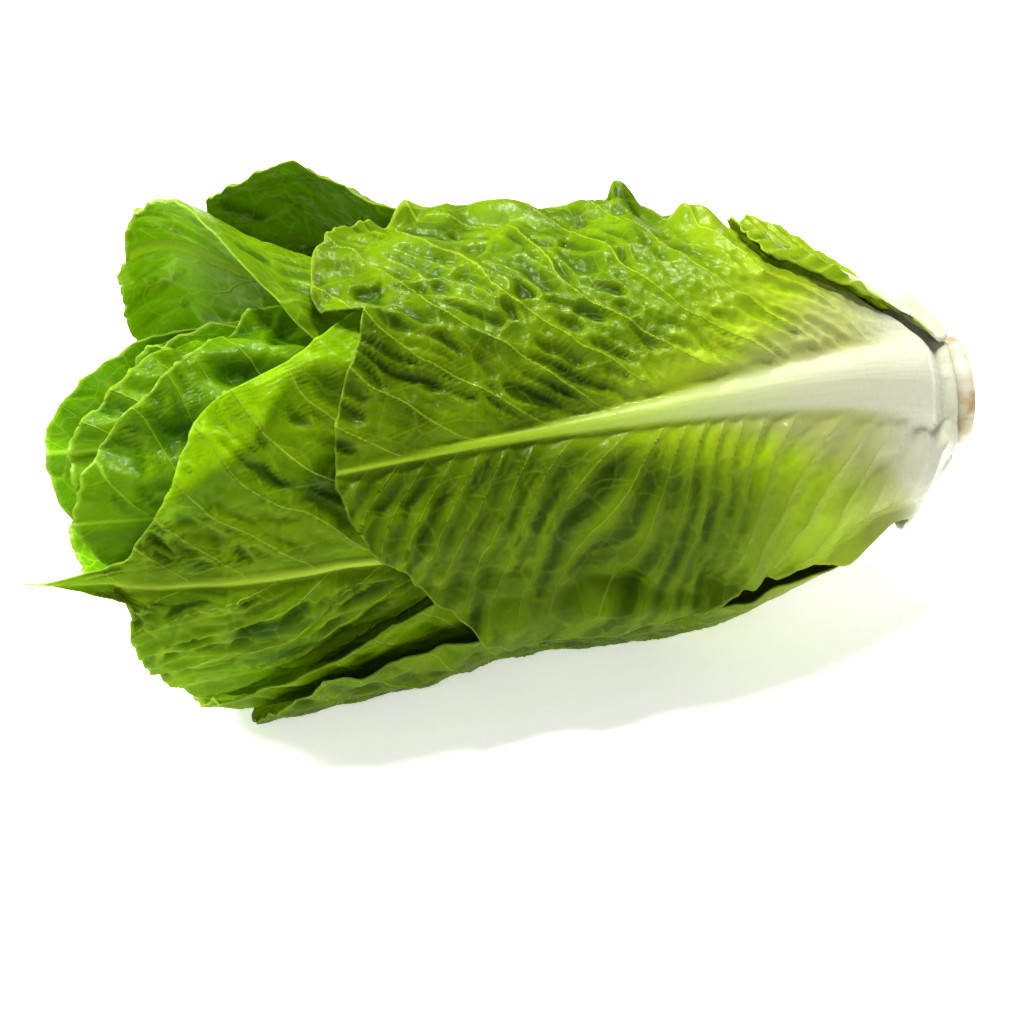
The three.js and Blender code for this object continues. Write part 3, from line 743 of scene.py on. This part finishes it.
LEAVES = (
    Leaf(
        name="heart_leaf_innermost", layer=Layer.HEART, phi=20, turn=10, root=48,
        cap=(130, 158, 168, 170, 166, 150, 120), half=(23, 23), neck=4, depth=0.17,
        flare=((0, 0), (170, 1)), lift=(1, -1), wave=0.8, waves=3, rib=(7, 1.5), floor=20,
        pucker=(0.5, 0.5), shown=0.6, grid=(40, 70),
    ),
    Leaf(
        name="heart_leaf_back_low", layer=Layer.HEART, phi=215, turn=-10, root=45,
        cap=(135, 168, 182, 186, 180, 160, 128), half=(34, 34), neck=4.5, depth=0.26,
        flare=((0, 0), (150, 0), (186, 2)), lift=(0, 1), wave=1, waves=3, rib=(8, 1.8), floor=18,
        pucker=(0.6, 0.6), shown=0.6, grid=(44, 74),
    ),
    Leaf(
        name="heart_leaf_front_low", layer=Layer.HEART, phi=120, turn=5, root=42,
        cap=(140, 180, 195, 200, 192, 172, 135), half=(38, 38), neck=4, depth=0.35,
        flare=((0, 0), (160, 0), (200, 3)), lift=(1, 0), wave=1.2, waves=3, rib=(9, 2), floor=17,
        pucker=(0.7, 0.7), shown=0.6, grid=(48, 78),
    ),
    Leaf(
        name="heart_leaf_back_high", layer=Layer.HEART, phi=318, turn=-8, root=39,
        cap=(150, 186, 200, 204, 198, 180, 145), half=(42, 42), neck=4.5, depth=0.43,
        flare=((0, 0), (170, 0), (210, 4)), lift=(0, 1), wave=1.4, waves=4, rib=(10, 2.2), floor=17,
        pucker=(0.7, 0.7), shown=0.6, grid=(50, 78),
    ),
    Leaf(
        name="inner_leaf_front_high", layer=Layer.INNER, phi=44, turn=0, root=35,
        cap=(150, 212, 236, 247, 243, 224, 175), half=(42, 42), neck=3.6, depth=0.49,
        flare=((0, 0), (190, 1), (235, 8), (249, 8)), lift=(1, 1), wave=1.6, waves=4, rib=(11, 2.4),
        floor=16, pucker=(2.4, 2.4), shown=0.7, grid=(84, 120),
    ),
    Leaf(
        name="inner_leaf_bottom", layer=Layer.INNER, phi=186, turn=0, root=31,
        cap=(170, 200, 226, 244, 251, 244, 190), half=(48, 44), neck=10, depth=0.58,
        flare=((0, 0), (190, 2), (253, 10)), lift=(1, 1), wave=1.6, waves=4, rib=(12, 2.6), floor=14,
        shown=0.7, grid=(84, 116),
    ),
    Leaf(
        name="inner_leaf_back", layer=Layer.INNER, phi=283, turn=0, root=27,
        cap=(196, 218, 228, 229, 222, 208, 178), half=(46, 46), neck=11, depth=0.58,
        flare=((0, 0), (200, 1), (230, 3)), lift=(1, 1), wave=2, waves=4, rib=(13, 2.8), floor=12,
        shown=0.75, grid=(80, 100),
    ),
    Leaf(
        name="inner_leaf_back_low", layer=Layer.INNER, phi=246, turn=0, root=23,
        cap=(205, 240, 252, 257, 249, 230, 190), half=(52, 46), neck=10, depth=0.64,
        flare=((0, 0), (190, 1), (257, 6)), lift=(1, 0), wave=1.8, waves=4, rib=(14, 3), floor=11,
        shown=0.7, grid=(90, 130),
    ),
    Leaf(
        name="inner_leaf_front", layer=Layer.INNER, phi=66, turn=0, root=19,
        cap=(198, 217, 238, 247, 235, 222, 190), half=(56, 52), neck=12, depth=0.76,
        flare=((0, 0), (170, 3), (200, 11), (225, 13), (250, 12)), lift=(-4, 1), wave=1.8, waves=4,
        rib=(15, 3.2), floor=10, folds=((214, 14, -6, 13, 5), (204, 31, -5, 11, 4), (220, 46, -3, 8, 4)),
        pucker=(2.4, 1.2), spacing=(19, 19), shown=0.62, grid=(120, 150),
    ),
    Leaf(
        name="hooded_leaf_back", layer=Layer.MIDDLE, phi=300, turn=0, root=16,
        cap=(212, 228, 231, 229, 223, 212, 178), half=(56, 80), neck=12, depth=0.82,
        flare=((0, 0), (165, 0), (178, 4), (187, 7), (197, 12), (206, 18), (213, 22), (222, 23), (231, 20)),
        lift=(0, 0), wave=1.4, waves=4, rib=(16, 2.6), floor=9.4, pucker=(1.7, 1.7), spacing=(21, 21),
        shown=0.7, grid=(150, 150),
    ),
    Leaf(
        name="pointed_leaf_front", layer=Layer.MIDDLE, phi=100, turn=-20, root=12,
        cap=(172, 188, 213, 219, 225, 232, 237, 236, 235, 233, 228, 220, 206), half=(58, 58), neck=13,
        depth=0.88, flare=((0, 0), (140, 0), (180, 3), (205, 7.5), (225, 9.5), (262, 8.5)), lift=(0, 1),
        wave=1.2, waves=5, rib=(17, 3.8), floor=9, tongue=(23, 0.1),
        folds=((184, 62, -7, 10, 8), (205, 97, -3, 9, 3), (196, 108, -3, 12, 3)), pucker=(2.4, 2.8),
        spacing=(19, 15), lean=(0.9, 1.5), billow=0.3, shown=0.45,
        painted_backlight=((150, 60), (173, 46), (190, 45), (202, 32), (216, 24), (233, 14), (250, 6)), grid=(150, 190),
    ),
    Leaf(
        name="lower_leaf_front", layer=Layer.MIDDLE, phi=150, turn=-4, root=12,
        cap=(170, 200, 216, 222, 220, 206, 170), half=(46, 48), neck=13, depth=0.9,
        flare=((0, 0), (130, 0), (160, 5), (186, 10), (210, 12), (222, 10)), lift=(0, 1), wave=1.4, waves=4,
        rib=(17, 3.6), floor=6.6, shown=0.4, grid=(90, 120),
    ),
    Leaf(
        name="lower_leaf_back", layer=Layer.MIDDLE, phi=218, turn=0, root=10,
        cap=(160, 196, 214, 218, 214, 194, 150), half=(56, 58), neck=14, depth=0.94,
        flare=((0, 0), (140, 0), (190, 8), (218, 12)), lift=(1, 3), wave=2, waves=4, rib=(19, 3.4),
        floor=4.2, pucker=(1.3, 1.3), grid=(100, 120),
    ),
    Leaf(
        name="outer_leaf_back", layer=Layer.OUTER, phi=262, turn=4, root=8,
        cap=(140, 178, 192, 196, 190, 172, 146), half=(62, 58), neck=15, depth=0.96,
        flare=((0, 0), (12, 1), (150, 2), (196, 8)), lift=(2, 1), wave=2, waves=5, rib=(22, 3), floor=2.6,
        pucker=(1.5, 1.5), grid=(120, 130),
    ),
    Leaf(
        name="top_leaf_back", layer=Layer.OUTER, phi=288, turn=0, root=4,
        cap=(160, 184, 200, 206, 205, 202, 185), half=(56, 44), neck=14, depth=0.93,
        flare=((0, 0), (130, 0), (145, 4), (156, 8), (166, 16), (177, 24), (188, 23), (206, 18)),
        lift=(0, 0), wave=1.4, waves=5, rib=(19, 2), floor=4, pucker=(2.3, 2.3), hug=(22, 0.35), shown=0.4,
        grid=(120, 130),
    ),
    Leaf(
        name="outer_leaf_bottom", layer=Layer.OUTER, phi=166, turn=0, root=6,
        cap=(188, 203, 207, 206, 200, 184, 150), half=(60, 60), neck=24, depth=1,
        flare=((0, 0), (4, 0), (9, 5), (15, 6), (35, 5), (70, 4), (100, 4), (140, 3), (165, 6), (207, 8)),
        lift=(1, 1), wave=1.6, waves=5, rib=(24, 4.8), floor=0, pucker=(1.6, 1.6), hug=(24, 0.35),
        shown=0.3, grid=(120, 140),
    ),
    Leaf(
        name="outer_leaf_front", layer=Layer.OUTER, phi=44, turn=15, root=6,
        cap=(163, 175, 181, 182, 177, 181, 182, 180, 176, 167, 158, 148, 138), half=(84, 56), neck=17,
        depth=1.01, flare=((0, 0), (150, 0), (184, 1)), lift=(1, 1), wave=2, waves=6, rib=(26, 5.4),
        floor=0,
        folds=((94, 329, 10, 3.6, 4.5), (77, 338, 7, 4.5, 6), (144, 326, 4, 6, 9), (111, 326, 4, 6, 9)),
        lobes=((-0.45, 0.72, 4.2, 0.4, 12),), pucker=(2.8, 2.4), spacing=(17, 8), lean=(0.75, 0.35),
        cell=12.0, fade=(90, 40), hug=(34, 0.25), billow=0.7, shown=0.05, grid=(190, 210),
    ),
    Leaf(
        name="outer_leaf_stub", layer=Layer.STUB, phi=345, turn=-3, root=5,
        cap=(57, 61, 64, 65, 65, 64, 61), half=(13, 20), neck=6, depth=1, flare=((0, 0), (64, 0)),
        lift=(8, 0), wave=0.6, waves=3, rib=(20, 3), floor=0, pucker=(1.4, 1.4), spacing=(7, 7), cell=5.0,
        blanch=(16, 4), billow=0.2, shown=0.1, grid=(50, 90),
    ),
)


@dataclass(frozen=True)
class StemFinish:
    """The stem's cream flesh, browned a little where it was cut and where leaves were pulled off."""

    slot: str = "stem"
    flesh: Colour = (0.56, 0.54, 0.44, 1.0)
    shade: Colour = (0.45, 0.42, 0.28, 1.0)
    scar: Colour = (0.36, 0.22, 0.075, 1.0)

    def material(self) -> bpy.types.Material:
        """The finish as a material.

        Returns:
            A moist cream skin with fibres along the stem and tan scars.
        """
        nodes = Nodes(f"{self.slot}_flesh")
        place = nodes.add("ShaderNodeTexCoord", output="Object")
        centred = nodes.add("ShaderNodeMapping", {}, {"Vector": place, "Scale": (30.0, 160.0, 160.0)})
        fibre = nodes.noise(centred, 1.6, 4.0)
        blotch = nodes.noise(place, 110.0, 4.0)
        scar = nodes.ramp(blotch, 0.48, 0.64) * nodes.attribute("scar")
        skin = nodes.blend(nodes.ramp(fibre, 0.35, 0.7), self.flesh, self.shade)
        skin = nodes.blend(scar, skin, self.scar)
        bump = nodes.add("ShaderNodeBump", {}, {"Strength": 0.5, "Distance": 0.0008,
                                                "Height": fibre * 0.6 + blotch * 0.5})
        return nodes.finish(nodes.add("ShaderNodeBsdfPrincipled", {}, {
            "Base Color": skin, "Roughness": nodes.ramp(fibre, 0.2, 0.8, 0.36, 0.6), "Normal": bump}))


@dataclass(frozen=True)
class Stem:
    """The short stem that all leaves grow from, with its cut face at the butt."""

    sides: int = 96
    face_rings: int = 10
    flange_rings: int = 26
    core_rings: int = 34
    scarred: float = 7.0
    finish: StemFinish = StemFinish()

    def build(self) -> bpy.types.Object:
        """Turns the stem round the head's axis.

        Returns:
            The piece, in place of the plain stem.
        """
        bm = bmesh.new()
        flange, end = STEM[5][0], STEM[-1][0]
        flange_u = np.linspace(0, flange, self.flange_rings)
        core_u = np.linspace(flange, end, self.core_rings)
        u = np.concatenate([np.zeros(self.face_rings), flange_u[1:], core_u[1:]])
        r = np.concatenate([np.linspace(0, STEM[1][1], self.face_rings), stem_radius(u[self.face_rings:])])
        ring = [bm.verts.new((CUT_FACE_X - a, 0, AXIS_HEIGHT + b)) for a, b in zip(u, r)]
        edges = [bm.edges.new(pair) for pair in zip(ring, ring[1:])]
        bmesh.ops.spin(bm, geom=ring + edges, cent=(0, 0, AXIS_HEIGHT), axis=(1, 0, 0), angle=2 * math.pi,
                       steps=self.sides, use_merge=True)
        bmesh.ops.remove_doubles(bm, verts=bm.verts[:], dist=0.01)
        bmesh.ops.recalc_face_normals(bm, faces=bm.faces[:])
        bmesh.ops.transform(bm, matrix=Matrix.Scale(MM, 4), verts=bm.verts[:])
        mesh = bpy.data.meshes.new("stem_flesh")
        bm.to_mesh(mesh)
        bm.free()
        points = np.array([v.co for v in mesh.vertices])
        near = np.clip((points[:, 0] / MM - (CUT_FACE_X - self.scarred)) / 5, 0, 1)
        mesh.attributes.new("scar", "FLOAT", "POINT").data.foreach_set("value", near.astype(np.float32))
        mesh.polygons.foreach_set("use_smooth", np.ones(len(mesh.polygons), bool))
        stem = bpy.data.objects.new("stem_fine", mesh)
        bpy.context.scene.collection.objects.link(stem)
        return stem


@dataclass(frozen=True)
class Head:
    """The whole head, grown from the stem outwards."""

    leaves: tuple[Leaf, ...] = LEAVES
    stem: Stem = Stem()

    @staticmethod
    def _dress(piece: bpy.types.Object, material: bpy.types.Material, slot: str, node: str) -> None:
        """Gives a piece its skin and lets it stand for its plain node.

        Args:
            piece: the fine piece
            material: its skin
            slot: name of the skin's slot; not used
            node: name of the plain node that it replaces
        """
        piece.data.materials.append(material)
        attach(piece, "root")
        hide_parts(node)
        log.info("%s: %d faces", piece.name, len(piece.data.polygons))

    def build(self) -> None:
        """Builds and dresses the stem and every leaf, innermost first."""
        finish = self.stem.finish
        self._dress(self.stem.build(), finish.material(), finish.slot, "stem")
        skins = {layer: layer.value.material() for layer in Layer}
        girth = Girth()
        for leaf in self.leaves:
            self._dress(leaf.build(girth), skins[leaf.layer], leaf.layer.value.slot, leaf.name)


@dataclass(frozen=True)
class Studio:
    """A pale floor, soft light from above and behind, and the camera."""

    azimuth: float = -10.0
    elevation: float = 35.0
    distance: float = 0.664
    lens: float = 85.0
    target: tuple[float, float, float] = (-0.0105, 0.0, 0.0565)
    shift_y: float = -0.081
    exposure: float = 0.3
    contrast: float = 0.8

    def floor(self) -> None:
        """Lays the floor under the head."""
        bm = bmesh.new()
        bmesh.ops.create_grid(bm, x_segments=2, y_segments=2, size=4.0)
        mesh = bpy.data.meshes.new("floor")
        bm.to_mesh(mesh)
        bm.free()
        nodes = Nodes("pale_floor")
        grain = nodes.noise(nodes.add("ShaderNodeTexCoord", output="Object"), 9.0)
        tint = nodes.blend(nodes.ramp(grain, 0.3, 0.7), (0.93, 0.93, 0.925, 1.0), (0.95, 0.95, 0.945, 1.0))
        mesh.materials.append(nodes.finish(nodes.add("ShaderNodeBsdfPrincipled", {}, {
            "Base Color": tint, "Roughness": 0.7, "Emission Color": (1.0, 1.0, 1.0, 1.0),
            "Emission Strength": 0.42})))
        floor = bpy.data.objects.new("floor", mesh)
        bpy.context.scene.collection.objects.link(floor)

    def _lamp(self, name: str, place: Vector, size: float, watts: float) -> None:
        """Hangs one soft lamp that faces the head.

        Args:
            name: the lamp's name
            place: where it hangs
            size: width of its disc, in metres
            watts: its power
        """
        lamp = bpy.data.lights.new(name, "AREA")
        lamp.shape = "DISK"
        lamp.size = size
        lamp.energy = watts
        holder = bpy.data.objects.new(name, lamp)
        holder.location = place
        holder.rotation_mode = "QUATERNION"
        holder.rotation_quaternion = (Vector(self.target) - place).to_track_quat("-Z", "Y")
        bpy.context.scene.collection.objects.link(holder)

    def lights(self) -> None:
        """Hangs the lamps and sets the even light all round."""
        self._lamp("key_above", Vector((0.02, 0.08, 1.15)), 0.22, 12.5)
        self._lamp("key_behind", Vector((0.25, 0.62, 0.85)), 0.22, 8.0)
        self._lamp("back_left", Vector((-0.80, 0.35, 0.50)), 0.35, 13.0)
        self._lamp("front_fill", Vector((-0.35, -1.1, 0.8)), 0.7, 4.0)
        world = bpy.data.worlds.new("studio")
        world.use_nodes = True
        sky = world.node_tree.nodes["Background"]
        sky.inputs["Color"].default_value = (1.0, 1.0, 1.0, 1.0)
        sky.inputs["Strength"].default_value = 0.2
        bpy.context.scene.world = world
        view = bpy.context.scene.view_settings
        view.view_transform = "Standard"
        view.exposure = self.exposure
        view.gamma = self.contrast

    def camera(self) -> None:
        """Places the camera where the photographer stood."""
        a, e = math.radians(self.azimuth), math.radians(self.elevation)
        back = Vector((math.sin(a) * math.cos(e), -math.cos(a) * math.cos(e), math.sin(e)))
        lens = bpy.data.cameras.new("camera")
        lens.lens = self.lens
        lens.sensor_width = 36.0
        lens.shift_y = self.shift_y
        camera = bpy.data.objects.new("camera", lens)
        camera.location = Vector(self.target) + back * self.distance
        camera.rotation_mode = "QUATERNION"
        camera.rotation_quaternion = (-back).to_track_quat("-Z", "Y")
        bpy.context.scene.collection.objects.link(camera)
        bpy.context.scene.camera = camera

    def build(self) -> None:
        """Sets up the floor, the lights and the camera."""
        self.floor()
        self.lights()
        self.camera()


def main() -> None:
    """Builds the head and the studio."""
    logging.basicConfig(level=logging.INFO, format="%(message)s")
    Head().build()
    Studio().build()
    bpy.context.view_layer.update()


if __name__ == "__main__":
    main()
